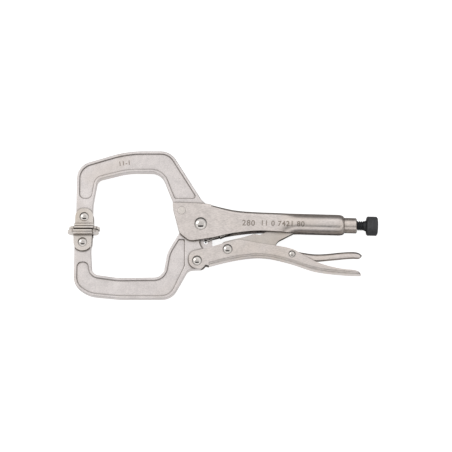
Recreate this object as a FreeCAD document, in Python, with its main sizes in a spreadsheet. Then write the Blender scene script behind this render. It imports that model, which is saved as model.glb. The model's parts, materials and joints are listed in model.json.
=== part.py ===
"""Locking C-clamp with swivel pads, an 11 inch tool lying flat on its side.

Frame: millimetres, +X from the jaws to the adjusting screw, +Y towards the fixed jaw, +Z up, normal
to the plane that the jaws move in. Every piece is drawn about the main pivot, with z = 0 in the tool's
middle plane, and its Placement moves it so that the origin is the bottom centre of the closed tool.
"""
import FreeCAD, Part
import math
import os

import Sketcher
from FreeCAD import Vector

SIZES = {
    # main pivot to pad pivots, and the two forged C arms
    "jaw_reach": 104.6,
    "reach_lead": 1.2,
    "throat_rise": 67.4,
    "throat_drop": 67.7,
    "arm_height": 19.3,
    "leg_width": 14.8,
    "leg_end": 7.4,
    "forging_thickness": 9.5,
    "web_thickness": 6.9,
    "rim_width": 2.5,
    "eye_radius": 10.5,
    "fixing_x": -17.3,
    "fixing_y": 12.0,
    "forged_round": 0.7,
    "lug_thickness": 4.0,
    "lug_hole_x": 4.5,
    "lug_hole_y": -16.0,
    "lug_hole": 2.0,
    # swivel pads
    "pad_pivot_rise": 6.3,
    "pad_reach": 11.3,
    "pad_gap": 0.5,
    "pad_radius": 14.0,
    "pad_width": 22.5,
    "pad_sheet": 2.3,
    "hem_width": 17.0,
    "hem_round": 1.0,
    "hem_groove": 0.45,
    "ear_radius": 7.7,
    "ear_gap": 0.15,
    # pressed channels
    "side_gap": 0.1,
    "cheek_sheet": 2.4,
    "cheek_bend": 4.0,
    "sheet_round": 0.45,
    "web_start": 9.6,
    "grip_sheet": 2.2,
    "grip_bend": 3.3,
    "grip_ear": 7.6,
    "grip_web_start": 7.3,
    "lever_sheet": 1.6,
    "lever_bend": 4.0,
    "lever_gap": 0.25,
    "tube_radius": 9.5,
    "tube_start": 90.0,
    "tube_length": 35.6,
    "shoulder_length": 3.4,
    "neck_length": 11.3,
    "slot_half": 4.0,
    "seam_half": 0.15,
    "axis_drop": 0.0262,
    # linkage
    "grip_pivot_x": -3.2,
    "grip_pivot_y": -33.6,
    "link_pivot_x": 24.1,
    "link_pivot_y": -23.2,
    "release_x": 81.7,
    "release_y": -27.7,
    "toggle_x": 98.6,
    "toggle_y": 0.4,
    "toggle_gap": 5.0,
    "link_thickness": 7.2,
    "hub_radius": 6.5,
    "grip_length": 143.5,
    "lever_front": 14.0,
    "lever_rear": 62.8,
    # rivets: shank, head and head height
    "running_gap": 0.05,
    "main_shank": 4.0,
    "main_head": 5.6,
    "main_dome": 2.2,
    "grip_shank": 3.0,
    "grip_head": 4.35,
    "grip_dome": 1.8,
    "release_shank": 2.1,
    "release_head": 3.1,
    "release_dome": 1.4,
    "pad_shank": 2.8,
    "pad_head": 4.1,
    "pad_dome": 1.6,
    "plug_radius": 3.75,
    # adjusting screw
    "screw_radius": 4.45,
    "thread_showing": 7.5,
    "collar_radius": 4.9,
    "collar_length": 1.2,
    "knob_length": 10.2,
    "knob_radius": 8.65,
    "knob_chamfer": 1.1,
    "stub_radius": 3.0,
    "stub_short": 2.2,
    # return spring, in one line from the lug's hole to the tab's hole
    "coil_radius": 3.0,
    "coil_start": 12.9,
    "coil_length": 29.0,
    "wire_radius": 0.6,
    "tab_x": 50.0,
    "tab_y": 4.6,
    "tab_below": 2.4,
    "tab_thickness": 2.0,
}

doc = FreeCAD.newDocument("locking_pliers")
sheet = doc.addObject("Spreadsheet::Sheet", "Sizes")
for row, (alias, number) in enumerate(SIZES.items(), start=1):
    sheet.set(f"A{row}", alias)
    sheet.set(f"B{row}", str(number))
    sheet.setAlias(f"B{row}", alias)
doc.recompute()


class Size:
    """A length that knows its value and the spreadsheet expression that gives it."""

    def __init__(self, value, text):
        self.value = value
        self.text = text

    def __add__(self, other):
        other = as_size(other)
        return Size(self.value + other.value, f"({self.text} + {other.text})")

    def __sub__(self, other):
        other = as_size(other)
        return Size(self.value - other.value, f"({self.text} - {other.text})")

    def __mul__(self, factor):
        factor = as_size(factor)
        return Size(self.value * factor.value, f"({self.text} * {factor.text})")

    def __truediv__(self, divisor):
        return Size(self.value / divisor, f"({self.text} / {divisor:.9g})")

    def __neg__(self):
        return Size(-self.value, f"(0 - {self.text})")

    def __radd__(self, other):
        return as_size(other) + self

    def __rsub__(self, other):
        return as_size(other) - self

    def __rmul__(self, other):
        return self * other


def as_size(number):
    if isinstance(number, Size):
        return number
    return Size(float(number), f"({number:.9g})")


def size(alias):
    return Size(float(sheet.get(alias)), f"Sizes.{alias}")


S = {alias: size(alias) for alias in SIZES}
S["lower_reach"] = S["jaw_reach"] + S["reach_lead"]
S["tube_end"] = S["tube_start"] + S["tube_length"]
S["neck_start"] = S["tube_end"] + S["shoulder_length"]
S["neck_end"] = S["neck_start"] + S["neck_length"]
S["collar_start"] = S["neck_end"] + S["thread_showing"]
S["knob_start"] = S["collar_start"] + S["collar_length"]
S["knob_end"] = S["knob_start"] + S["knob_length"]
SHEET = {alias: length.value for alias, length in S.items()}

# Half thicknesses and places that several pieces share
forging_half = S["forging_thickness"] / 2
channel_half = forging_half + S["side_gap"]
cheek_half = channel_half + S["cheek_sheet"]
grip_half = channel_half + S["grip_sheet"]
mid_z = S["pad_width"] / 2
lower_pad_y = S["pad_pivot_rise"] - 2 * S["pad_reach"] - S["pad_gap"]
lower_front_end = S["lower_reach"] + S["pad_radius"]
pivot_x = (lower_front_end - S["knob_end"]) / 2
pivot_y = (S["throat_drop"] - S["throat_rise"]) / 2


def bind(feature, name, length):
    feature.setExpression(name, as_size(length).text)


def place(thing, dx=0.0, dy=0.0):
    """Puts a piece drawn about the main pivot, or a point dx, dy from it, into the tool's frame."""
    bind(thing, "Placement.Base.x", pivot_x + dx)
    bind(thing, "Placement.Base.y", pivot_y + dy)
    bind(thing, "Placement.Base.z", mid_z)


# ---------------------------------------------------------------- sketches


def add_sketch(body, name, plane="XY_Plane", lift=0.0):
    sketch = body.newObject("Sketcher::SketchObject", name)
    origin_plane = [f for f in body.Origin.OriginFeatures if f.Role == plane][0]
    sketch.AttachmentSupport = (origin_plane, "")
    sketch.MapMode = "FlatFace"
    if lift:
        bind(sketch, "AttachmentOffset.Base.z", lift)
    return sketch


def add_constraints(sketch, rows):
    """Adds (constraint, size) rows, and binds each size that comes from the spreadsheet."""
    first = sketch.ConstraintCount
    sketch.addConstraint([constraint for constraint, length in rows])
    for number, (constraint, length) in enumerate(rows, start=first):
        if length is not None and "Sizes." in length.text:
            sketch.setExpression(f"Constraints[{number}]", length.text)


def corner_turn(before, corner, after):
    """Unit directions into and out of a corner, and the signed angle between them."""
    into = (corner - before).normalize()
    out = (after - corner).normalize()
    angle = math.atan2(into.x * out.y - into.y * out.x, into.dot(out))
    return into, out, angle


def draw_outline(sketch, corners):
    """A closed outline of straight lines, rounded by a tangent arc where a corner has a radius."""
    count = len(corners)
    points = [Vector(as_size(x).value, as_size(y).value, 0) for x, y, radius in corners]
    radii = [as_size(radius).value for x, y, radius in corners]
    starts, ends, arcs = [], [], []
    for i in range(count):
        into, out, angle = corner_turn(points[i - 1], points[i], points[(i + 1) % count])
        run = radii[i] * math.tan(abs(angle) / 2)
        ends.append(points[i] - into * run)
        starts.append(points[i] + out * run)
        side = Vector(-into.y, into.x, 0) * math.copysign(1, angle)
        arcs.append((ends[i] + side * radii[i], angle))
    base = sketch.GeometryCount
    lines = [Part.LineSegment(starts[i], ends[(i + 1) % count]) for i in range(count)]
    sketch.addGeometry(lines, False)
    rows = []
    for i, (x, y, radius) in enumerate(corners):
        before, after = base + (i - 1) % count, base + i
        if radii[i] == 0:
            rows.append((Sketcher.Constraint("Coincident", before, 2, after, 1), None))
            held = after
        else:
            centre, angle = arcs[i]
            first, last = (ends[i], starts[i]) if angle > 0 else (starts[i], ends[i])
            circle = Part.Circle(centre, Vector(0, 0, 1), radii[i])
            arc = Part.ArcOfCircle(circle, circle.parameter(first), circle.parameter(last))
            bend = sketch.addGeometry(arc, False)
            held = sketch.addGeometry(Part.Point(points[i]), True)
            into_pos, out_pos = (1, 2) if angle > 0 else (2, 1)
            rows += [
                (Sketcher.Constraint("PointOnObject", held, 1, before), None),
                (Sketcher.Constraint("PointOnObject", held, 1, after), None),
                (Sketcher.Constraint("Tangent", before, 2, bend, into_pos), None),
                (Sketcher.Constraint("Tangent", after, 1, bend, out_pos), None),
                (Sketcher.Constraint("Radius", bend, radii[i]), as_size(radius)),
            ]
        rows += [
            (Sketcher.Constraint("DistanceX", held, 1, points[i].x), as_size(x)),
            (Sketcher.Constraint("DistanceY", held, 1, points[i].y), as_size(y)),
        ]
    add_constraints(sketch, rows)


def draw_circle(sketch, x, y, radius):
    x, y, radius = as_size(x), as_size(y), as_size(radius)
    centre = Vector(x.value, y.value, 0)
    circle = sketch.addGeometry(Part.Circle(centre, Vector(0, 0, 1), radius.value), False)
    rows = [
        (Sketcher.Constraint("DistanceX", circle, 3, x.value), x),
        (Sketcher.Constraint("DistanceY", circle, 3, y.value), y),
        (Sketcher.Constraint("Radius", circle, radius.value), radius),
    ]
    add_constraints(sketch, rows)


def line_at(start, end, y):
    """The x where the line between two corners reaches the height y."""
    share = (as_size(y).value - as_size(start[1]).value) / (
        as_size(end[1]).value - as_size(start[1]).value
    )
    return as_size(start[0]) * (1 - share) + as_size(end[0]) * share


def inset(corners, distance):
    """The same outline moved inwards by a distance, with each corner's own radius."""
    points = [Vector(as_size(c[0]).value, as_size(c[1]).value, 0) for c in corners]
    count = len(points)
    area = sum(points[i - 1].x * points[i].y - points[i].x * points[i - 1].y for i in range(count))
    inward = math.copysign(1, area)
    moved = []
    for i, (x, y, radius) in enumerate(corners):
        into, out, angle = corner_turn(points[i - 1], points[i], points[(i + 1) % count])
        normal = Vector(-into.y - out.y, into.x + out.x, 0).normalize() * inward
        reach = normal / math.cos(angle / 2)
        moved.append((x + reach.x * distance, y + reach.y * distance, radius))
    return moved


# ---------------------------------------------------------------- features


def new_body(label):
    body = doc.addObject("PartDesign::Body", label)
    body.Label = label
    return body


def pad(body, name, sketch, length, both_sides=True, flipped=False):
    feature = body.newObject("PartDesign::Pad", name)
    feature.Profile = sketch
    feature.SideType = "Symmetric" if both_sides else "One side"
    feature.Reversed = flipped
    bind(feature, "Length", length)
    sketch.Visibility = False
    doc.recompute()
    return feature


def cut_through(body, name, sketch, both_sides=True, flipped=False):
    """A pocket right through the body, from its middle plane or from the sketch's own height."""
    volume = body.Shape.Volume
    feature = body.newObject("PartDesign::Pocket", name)
    feature.Profile = sketch
    feature.Type = "ThroughAll"
    feature.SideType = "Symmetric" if both_sides else "One side"
    feature.Reversed = flipped
    doc.recompute()
    if body.Shape.Volume > volume - 0.01:
        raise RuntimeError(f"{body.Label}: {name} cuts nothing")
    return feature


def mirror(body, name, originals, plane="XY_Plane"):
    feature = body.newObject("PartDesign::Mirrored", name)
    feature.Originals = originals
    feature.MirrorPlane = ([f for f in body.Origin.OriginFeatures if f.Role == plane][0], [""])
    body.Tip = feature
    doc.recompute()
    return feature


def drill(body, name, circles):
    sketch = add_sketch(body, name + "_sketch")
    for x, y, radius in circles:
        draw_circle(sketch, x, y, radius)
    return cut_through(body, name, sketch)


def revolve(body, name, corners, plane="XZ_Plane", axis="V_Axis"):
    sketch = add_sketch(body, name + "_sketch", plane)
    draw_outline(sketch, corners)
    feature = body.newObject("PartDesign::Revolution", name)
    feature.Profile = sketch
    feature.ReferenceAxis = (sketch, [axis])
    feature.Angle = 360
    doc.recompute()
    return feature


def soften(body, name, radius, is_chosen):
    """Rounds the body's edges for which is_chosen(edge) is true."""
    base = body.Tip
    names = [f"Edge{i}" for i, edge in enumerate(base.Shape.Edges, start=1) if is_chosen(edge)]
    feature = body.newObject("PartDesign::Fillet", name)
    feature.Base = (base, names)
    bind(feature, "Radius", radius)
    body.Tip = feature
    doc.recompute()
    return feature


def lies_at_height(edge, height):
    box = edge.BoundBox
    return abs(box.ZMin - height) < 1e-4 and abs(box.ZMax - height) < 1e-4


# ---------------------------------------------------------------- forged jaws


def recess_both_sides(body, corners):
    """Sinks the forging's web below its rim on both faces."""
    sketch = add_sketch(body, "recess_sketch", lift=S["web_thickness"] / 2)
    draw_outline(sketch, corners)
    recess = cut_through(body, "recess", sketch, both_sides=False, flipped=True)
    mirror(body, "recess_other_side", [recess])


def forge(body, outline, recess):
    sketch = add_sketch(body, "outline")
    draw_outline(sketch, outline)
    pad(body, "forging", sketch, S["forging_thickness"])
    recess_both_sides(body, recess)
    top = forging_half.value
    soften(
        body,
        "forged_edges",
        S["forged_round"],
        lambda edge: lies_at_height(edge, top) or lies_at_height(edge, -top),
    )


def make_fixed_jaw():
    outer = -S["jaw_reach"] - S["leg_width"] / 2
    inner = -S["jaw_reach"] + S["leg_width"] / 2
    top = S["throat_rise"]
    under = top - S["arm_height"]
    end = S["pad_pivot_rise"] - S["leg_end"]
    end_round = S["leg_width"] / 2 - 0.2
    knee = (outer, top - 13.6, 15.5)
    crest = (-0.64 * S["jaw_reach"], top, 100)
    shoulder = (as_size(-27.6), top, 16)
    heel = (as_size(0.6), as_size(22.3), 8)
    inner_heel = (as_size(-25.0), as_size(20.5), 6)
    inner_shoulder = (as_size(-36.0), under, 13.3)
    inner_crest = (-0.63 * S["jaw_reach"], under, 60)
    inner_knee = (inner + 3.9, under - 6.9, 6.3)
    inner_shin = (inner, S["pad_pivot_rise"] + 11.7, 30)
    outline = [
        (outer, end, end_round),
        knee,
        crest,
        shoulder,
        heel,
        (8.6, 15.0, 1),
        (8.6, 12.0, 1),
        (-9.5, 12.0, 4),
        (-14.0, 5.0, 2),
        (-21.8, 5.0, 2),
        inner_heel,
        inner_shoulder,
        inner_crest,
        inner_knee,
        inner_shin,
        (inner, end, end_round),
    ]
    leg_stop = 23.6 - S["rim_width"]
    slant_stop = 23.5 - S["rim_width"]
    recess = inset(
        [
            (outer, leg_stop, 4.5),
            (knee[0], knee[1], 13),
            (crest[0], crest[1], 97),
            (shoulder[0], shoulder[1], 13.5),
            (line_at(shoulder, heel, slant_stop), slant_stop, 2.2),
            (line_at(inner_heel, inner_shoulder, slant_stop), slant_stop, 2.2),
            (inner_shoulder[0], inner_shoulder[1], 15.8),
            (inner_crest[0], inner_crest[1], 62),
            (inner_knee[0], inner_knee[1], 8.8),
            (line_at(inner_knee, inner_shin, leg_stop), leg_stop, 4.5),
        ],
        S["rim_width"],
    )
    body = new_body("fixed_jaw")
    forge(body, outline, recess)
    pad_bore = S["pad_shank"] + S["running_gap"]
    pad_place = (-S["jaw_reach"], S["pad_pivot_rise"])
    drill(body, "bores", [(*pad_place, pad_bore), (S["fixing_x"], S["fixing_y"], S["plug_radius"])])
    place(body)
    return body


def make_lower_jaw():
    outer = -S["lower_reach"] - S["leg_width"] / 2
    inner = -S["lower_reach"] + S["leg_width"] / 2
    bottom = -S["throat_drop"]
    over = bottom + S["arm_height"]
    end = lower_pad_y + S["leg_end"]
    end_round = S["leg_width"] / 2 - 0.2
    boss = S["grip_shank"] + 3.6
    boss_bottom = S["grip_pivot_y"] - boss
    boss_right = S["grip_pivot_x"] + boss
    knee = (outer, bottom + 11.9, 14)
    shin = (outer + 13.5, bottom + 2.7, 25)
    crest = (-0.68 * S["lower_reach"], bottom, 80)
    shoulder = (as_size(-25.7), bottom, 15.2)
    heel = (as_size(-11.2), boss_bottom - 1.4, 6)
    inner_heel = (as_size(-12.8), as_size(2.6), 6)
    inner_mid = (as_size(-29.8), as_size(-26.0), 25)
    inner_shoulder = (as_size(-33.7), over - 0.2, 9.5)
    inner_crest = (-0.7 * S["lower_reach"], over - 0.6, 60)
    inner_knee = (inner + 1.2, over + 2.6, 7.4)
    inner_shin = (inner, lower_pad_y - 9.2, 30)
    outline = [
        (outer, end, end_round),
        (inner, end, end_round),
        inner_shin,
        inner_knee,
        inner_crest,
        inner_shoulder,
        inner_mid,
        inner_heel,
        (-8.2, S["eye_radius"], 9),
        (S["eye_radius"], S["eye_radius"], S["eye_radius"] - 0.5),
        (S["eye_radius"], -8.5, 5.5),
        (-0.6, -11.2, 1.5),
        (-1.3, -17.5, 5),
        (boss_right, S["grip_pivot_y"] + 7.6, 4),
        (boss_right, boss_bottom, boss - 0.1),
        heel,
        shoulder,
        crest,
        shin,
        knee,
    ]
    leg_stop = -34.5 + S["rim_width"]
    slant_stop = as_size(-11.5)
    boss_edge = S["grip_pivot_x"] - boss - 2.0
    recess = inset(
        [
            (outer, leg_stop, 4.5),
            (inner_shin[0], leg_stop, 4.5),
            (inner_knee[0], inner_knee[1], 9.9),
            (inner_crest[0], inner_crest[1], 62),
            (inner_shoulder[0], inner_shoulder[1], 12),
            (inner_mid[0], inner_mid[1], 22.5),
            (line_at(inner_heel, inner_mid, slant_stop), slant_stop, 1.2),
            (boss_edge, slant_stop, 1.2),
            (boss_edge, heel[1] + 3.0, 4),
            (shoulder[0], shoulder[1], 12.7),
            (crest[0], crest[1], 77),
            (shin[0], shin[1], 22),
            (knee[0], knee[1], 11.5),
        ],
        S["rim_width"],
    )
    body = new_body("lower_jaw")
    forge(body, outline, recess)
    sketch = add_sketch(body, "lug_outline")
    hole_x, hole_y = S["lug_hole_x"], S["lug_hole_y"]
    draw_outline(
        sketch,
        [
            (hole_x - 8.5, hole_y + 5.0, 0),
            (hole_x + 2.9, hole_y + 5.0, 3),
            (hole_x + 5.9, hole_y + 2.6, 2),
            (hole_x + 5.9, hole_y - 4.4, 2.5),
            (hole_x - 3.5, hole_y - 8.0, 1),
            (hole_x - 8.5, hole_y - 8.0, 0),
        ],
    )
    pad(body, "spring_lug", sketch, S["lug_thickness"])
    drill(
        body,
        "bores",
        [
            (0, 0, S["main_shank"] + S["running_gap"]),
            (S["grip_pivot_x"], S["grip_pivot_y"], S["grip_shank"] + S["running_gap"]),
            (-S["lower_reach"], lower_pad_y, S["pad_shank"] + S["running_gap"]),
            (hole_x, hole_y, S["lug_hole"]),
        ],
    )
    place(body)
    return body


# ---------------------------------------------------------------- swivel pads


def make_pad(label, x, y, side):
    """A round pad whose front and back tongues fold back over it and rise as ears.

    side is -1 for a pad that faces down and +1 for one that faces up.
    """
    body = new_body(label)
    sheet_thick = S["pad_sheet"]
    face = S["pad_reach"]
    hem_half = S["pad_width"] / 2
    ear_in = forging_half + S["ear_gap"]
    ear_out = ear_in + sheet_thick
    disc = add_sketch(body, "disc_outline", "XZ_Plane", lift=-side * face)
    fold = hem_half - sheet_thick
    draw_circle(disc, 0, 0, S["pad_radius"])
    pad(body, "disc", disc, sheet_thick, both_sides=False, flipped=side < 0)
    trim = add_sketch(body, "disc_trim", "YZ_Plane")
    far = S["pad_radius"] * 1.5
    for sign in (-1, 1):
        low, high = sorted(((face + 1) * side, (face - sheet_thick - 1) * side), key=lambda s: s.value)
        near_z, far_z = sorted((sign * fold, sign * far), key=lambda s: s.value)
        draw_outline(trim, [(low, near_z, 0), (high, near_z, 0), (high, far_z, 0), (low, far_z, 0)])
    cut_through(body, "trimmed_disc", trim)
    fold_sketch = add_sketch(body, "hem_and_ear_outline", "YZ_Plane")
    tip = -side * (S["ear_radius"] + 0.5)
    groove = S["hem_groove"]
    seam = face - sheet_thick
    draw_outline(
        fold_sketch,
        [
            (side * face, fold - 0.4, 0),
            (side * face, hem_half, S["hem_round"]),
            (side * (seam + groove * 0.7), hem_half, 0),
            (side * seam, hem_half - groove, 0),
            (side * (seam - groove * 0.7), hem_half, 0),
            (side * (face - 2 * sheet_thick), hem_half, S["hem_round"]),
            (side * (face - 2 * sheet_thick), ear_out, 0.5),
            (tip, ear_out, 0),
            (tip, ear_in, 0),
            (side * (face - sheet_thick), ear_in, 1.2),
            (side * (face - sheet_thick), fold - 0.4, 0),
        ],
    )
    hem = pad(body, "hem_and_ear", fold_sketch, S["hem_width"])
    mirror(body, "other_hem_and_ear", [hem])
    ear_trim = add_sketch(body, "ear_trim")
    wide = S["hem_width"] / 2 + 1
    foot = S["hem_width"] / 2 - 0.3
    above = -side * (S["ear_radius"] + 1.5)
    root = side * (face - 2 * sheet_thick)
    ear, ear_top, ear_round = S["ear_radius"], -side * S["ear_radius"], S["ear_radius"] * 0.97
    draw_outline(
        ear_trim,
        [
            (-1 * wide, root, 0),
            (-1 * foot, root, 0),
            (-1 * ear, ear_top, ear_round),
            (ear, ear_top, ear_round),
            (foot, root, 0),
            (wide, root, 0),
            (wide, above, 0),
            (-1 * wide, above, 0),
        ],
    )
    cut_through(body, "rounded_ears", ear_trim)
    drill(body, "rivet_holes", [(0, 0, S["pad_shank"])])
    place(body, x, y)
    return body


# ---------------------------------------------------------------- rivets


def make_rivet(label, x, y, shank, head, dome, grip):
    """A shank with a domed head on each side of a grip that is 2 x grip thick."""
    body = new_body(label)
    profile = [(0, -1 * (grip + dome), 0)]
    steps = [(0.62, 0.86), (0.93, 0.45)]
    for radius_share, height_share in steps:
        profile.append((head * radius_share, -1 * (grip + dome * height_share), dome * 1.2))
    profile += [(head, -1 * grip, 0), (shank, -1 * grip, 0), (shank, grip, 0), (head, grip, 0)]
    for radius_share, height_share in reversed(steps):
        profile.append((head * radius_share, grip + dome * height_share, dome * 1.2))
    profile.append((0, grip + dome, 0))
    revolve(body, "rivet", profile)
    place(body, x, y)
    return body


# ---------------------------------------------------------------- pressed channels


def smooth_profile(stations):
    """A smooth height along x through a few (x, y) stations."""
    def height(x):
        last = len(stations) - 1
        i = 0
        while i < last - 1 and x > stations[i + 1][0]:
            i += 1
        x0, y0 = stations[i]
        x1, y1 = stations[i + 1]
        before = stations[max(i - 1, 0)]
        after = stations[min(i + 2, last)]
        slope0 = (y1 - before[1]) / (x1 - before[0])
        slope1 = (after[1] - y0) / (after[0] - x0)
        u = min(max((x - x0) / (x1 - x0), 0), 1)
        run = x1 - x0
        return (
            y0 * (1 + 2 * u) * (1 - u) ** 2
            + slope0 * run * u * (1 - u) ** 2
            + y1 * u * u * (3 - 2 * u)
            + slope1 * run * u * u * (u - 1)
        )

    return height


def blend(a, b, share):
    return a + (b - a) * share


def channel_side(edge_y, web_y, half, bend):
    """Key points (y, z) of one side of a channel's skin: edge, wall, bend and middle of the web."""
    into = math.copysign(1, web_y - edge_y)
    quarter = bend * (1 - math.sqrt(0.5))
    wall_top = web_y - into * bend
    return [
        (edge_y, half),
        ((edge_y + wall_top) / 2, half),
        (wall_top, half),
        (web_y - into * quarter, half - quarter),
        (web_y, half - bend),
        (web_y, (half - bend) / 2),
        (web_y, 0.0),
    ]


def tube_side(centre, radius, slot):
    """The same key points on a round tube with a slot along its bottom."""
    start = -math.pi / 2 + math.asin(slot / radius)
    wall_end = math.radians(40)
    web_start = math.radians(68)
    angles = [start, (start + wall_end) / 2, wall_end, (wall_end + web_start) / 2, web_start]
    angles += [(web_start + math.pi / 2) / 2, math.pi / 2]
    return [(centre + radius * math.sin(a), radius * math.cos(a)) for a in angles]


def mixed(side_a, side_b, share):
    return [(blend(a[0], b[0], share), blend(a[1], b[1], share)) for a, b in zip(side_a, side_b)]


def edge_through(points):
    """An arc through three points, or a line if they are in line."""
    first, middle, last = points
    if (middle - first).cross(last - middle).Length < 1e-6:
        return Part.makeLine(first, last)
    return Part.Arc(first, middle, last).toShape()


def section_wire(x, outer, inner):
    """A closed section of formed sheet at x, from the key points of its outer and inner skin."""

    def skin(side):
        points = [Vector(x, y, z) for y, z in side]
        points += [Vector(x, y, -z) for y, z in reversed(side[:-1])]
        near = [edge_through(points[i : i + 3]) for i in (0, 2)]
        web = edge_through([points[4], points[6], points[8]])
        far = [edge_through(points[i : i + 3]) for i in (8, 10)]
        return near + [web] + far, points[0], points[-1]

    outer_edges, outer_start, outer_end = skin(outer)
    inner_edges, inner_start, inner_end = skin(inner)
    ends = [Part.makeLine(outer_end, inner_end), Part.makeLine(inner_start, outer_start)]
    return Part.Wire(Part.__sortEdges__(outer_edges + inner_edges + ends))


def channel_section(x, edge_y, web_y, half, sheet_thick, bend):
    into = math.copysign(1, web_y - edge_y)
    bend = min(bend, 0.8 * abs(web_y - edge_y))
    inner_bend = max(bend - sheet_thick, 0.4)
    outer = channel_side(edge_y, web_y, half, bend)
    inner = channel_side(edge_y, web_y - into * sheet_thick, half - sheet_thick, inner_bend)
    return section_wire(x, outer, inner)


def lofted_sheet(name, sections):
    shape = Part.makeLoft(sections, True, True)
    feature = doc.addObject("Part::Feature", name)
    feature.Shape = shape
    place(feature)
    return feature


def fuse(label, pieces):
    feature = doc.addObject("Part::MultiFuse", label)
    feature.Label = label
    feature.Shapes = pieces
    feature.Refine = True
    doc.recompute()
    return feature


def stations_between(start, end, count):
    return [start + (end - start) * i / count for i in range(count + 1)]


def cheek_plates(name, outline, half, channel_width_half, holes, edge_round=None):
    """Two flat cheeks of one outline, with rivet holes and outer edges rounded by edge_round.

    The outline's first two corners are the line where the cheeks run on as a channel.
    """
    body = new_body(name)
    sketch = add_sketch(body, "cheek_outline")
    draw_outline(sketch, outline)
    pad(body, "cheeks", sketch, 2 * half)
    top, join = half.value, as_size(outline[0][0]).value

    def is_outer_edge(edge):
        at_join = edge.BoundBox.XMin > join - 1e-4
        return not at_join and (lies_at_height(edge, top) or lies_at_height(edge, -top))

    if edge_round:
        soften(body, "cheek_edges", edge_round, is_outer_edge)
    between = add_sketch(body, "between_cheeks", "YZ_Plane")
    wide = 80
    draw_outline(
        between,
        [
            (-wide, -1 * channel_width_half, 0),
            (wide, -1 * channel_width_half, 0),
            (wide, channel_width_half, 0),
            (-wide, channel_width_half, 0),
        ],
    )
    cut_through(body, "channel", between)
    drill(body, "rivet_holes", holes)
    return body


def make_upper_handle():
    web_y_start = 17.4
    web_start = SHEET["web_start"]
    cheeks = cheek_plates(
        "front_cheeks",
        [
            (S["web_start"], -12.9, 0),
            (S["web_start"], web_y_start, 0),
            (6.0, 18.3, 8),
            (-25.4, 19.6, 1.5),
            (-25.2, 15.0, 12),
            (-19.0, -8.4, 9),
            (-10.0, -15.9, 9),
        ],
        cheek_half,
        channel_half,
        [(0, 0, S["main_shank"]), (S["fixing_x"], S["fixing_y"], S["plug_radius"])],
        S["sheet_round"],
    )
    place(cheeks)
    half = cheek_half.value
    sheet_thick = SHEET["cheek_sheet"]
    tube_radius = SHEET["tube_radius"]
    tube_start, tube_end = SHEET["tube_start"], SHEET["tube_end"]
    neck_start, neck_end = SHEET["neck_start"], SHEET["neck_end"]
    neck_bore = SHEET["screw_radius"] + SHEET["running_gap"]
    neck_radius = neck_bore + sheet_thick
    flat_end = tube_start - 24
    top = smooth_profile(
        [(web_start, web_y_start), (19, 15.1), (33, 12.4), (54, 10.9), (tube_start, 9.9)]
    )
    bottom = smooth_profile(
        [(web_start, -12.9), (26.6, -9.0), (45, -6.7), (60, -6.4), (tube_start, -8.5)]
    )

    def axis_y(x):
        return SHEET["toggle_y"] - SHEET["axis_drop"] * (x - SHEET["toggle_x"])

    sections = []
    for x in stations_between(web_start, flat_end, 9):
        opened = min((x - web_start) / 15, 1)
        bend = blend(sheet_thick + 0.4, SHEET["cheek_bend"], opened)
        sections.append(channel_section(x, bottom(x), top(x), half, sheet_thick, bend))
    blends = 8
    for step in range(1, blends + 1):
        u = step / blends
        share = u * u * (3 - 2 * u)
        x = blend(flat_end, tube_start, u)
        inner_half = half - sheet_thick
        inner_bend = SHEET["cheek_bend"] - sheet_thick
        flat_outer = channel_side(bottom(x), top(x), half, SHEET["cheek_bend"])
        flat_inner = channel_side(bottom(x), top(x) - sheet_thick, inner_half, inner_bend)
        round_outer = tube_side(axis_y(x), tube_radius, SHEET["slot_half"])
        round_inner = tube_side(axis_y(x), tube_radius - sheet_thick, SHEET["slot_half"])
        sections.append(
            section_wire(x, mixed(flat_outer, round_outer, share), mixed(flat_inner, round_inner, share))
        )
    swage = neck_start - tube_end
    rear = [(tube_end - 2, tube_radius, tube_radius - sheet_thick, SHEET["slot_half"])]
    turns = 5
    for step in range(1, turns + 1):
        angle = math.pi / 2 * step / turns
        share = 1 - math.cos(angle)
        x = tube_end - 2 + (swage + 2) * 0.999 * math.sin(angle)
        radius = blend(tube_radius, neck_radius, share)
        slot = blend(SHEET["slot_half"], SHEET["seam_half"], share)
        rear.append((x, radius, blend(tube_radius - sheet_thick, neck_bore, share), slot))
    rear.append((neck_end - 0.8, neck_radius, neck_bore, SHEET["seam_half"]))
    rear.append((neck_end, neck_radius - 0.7, neck_bore, SHEET["seam_half"]))
    for x, outer_radius, inner_radius, slot in rear:
        outer = tube_side(axis_y(x), outer_radius, slot)
        inner = tube_side(axis_y(x), inner_radius, slot)
        sections.append(section_wire(x, outer, inner))
    channel = lofted_sheet("upper_channel", sections)
    tab = new_body("spring_tab")
    sketch = add_sketch(tab, "tab_outline")
    left = S["tab_x"] - S["tab_thickness"] / 2
    right = S["tab_x"] + S["tab_thickness"] / 2
    roof = top(SHEET["tab_x"]) - sheet_thick + 0.6
    foot = S["tab_y"] - S["tab_below"]
    draw_outline(sketch, [(left, foot, 0), (right, foot, 0), (right, roof, 0), (left, roof, 0)])
    pad(tab, "tab", sketch, 2 * (S["coil_radius"] + 0.4))
    hole = add_sketch(tab, "hook_hole", "YZ_Plane")
    draw_circle(hole, S["tab_y"], 0, S["wire_radius"] * 2.2)
    cut_through(tab, "hook_hole_cut", hole)
    place(tab)
    return fuse("upper_handle", [cheeks, channel, tab])


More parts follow.
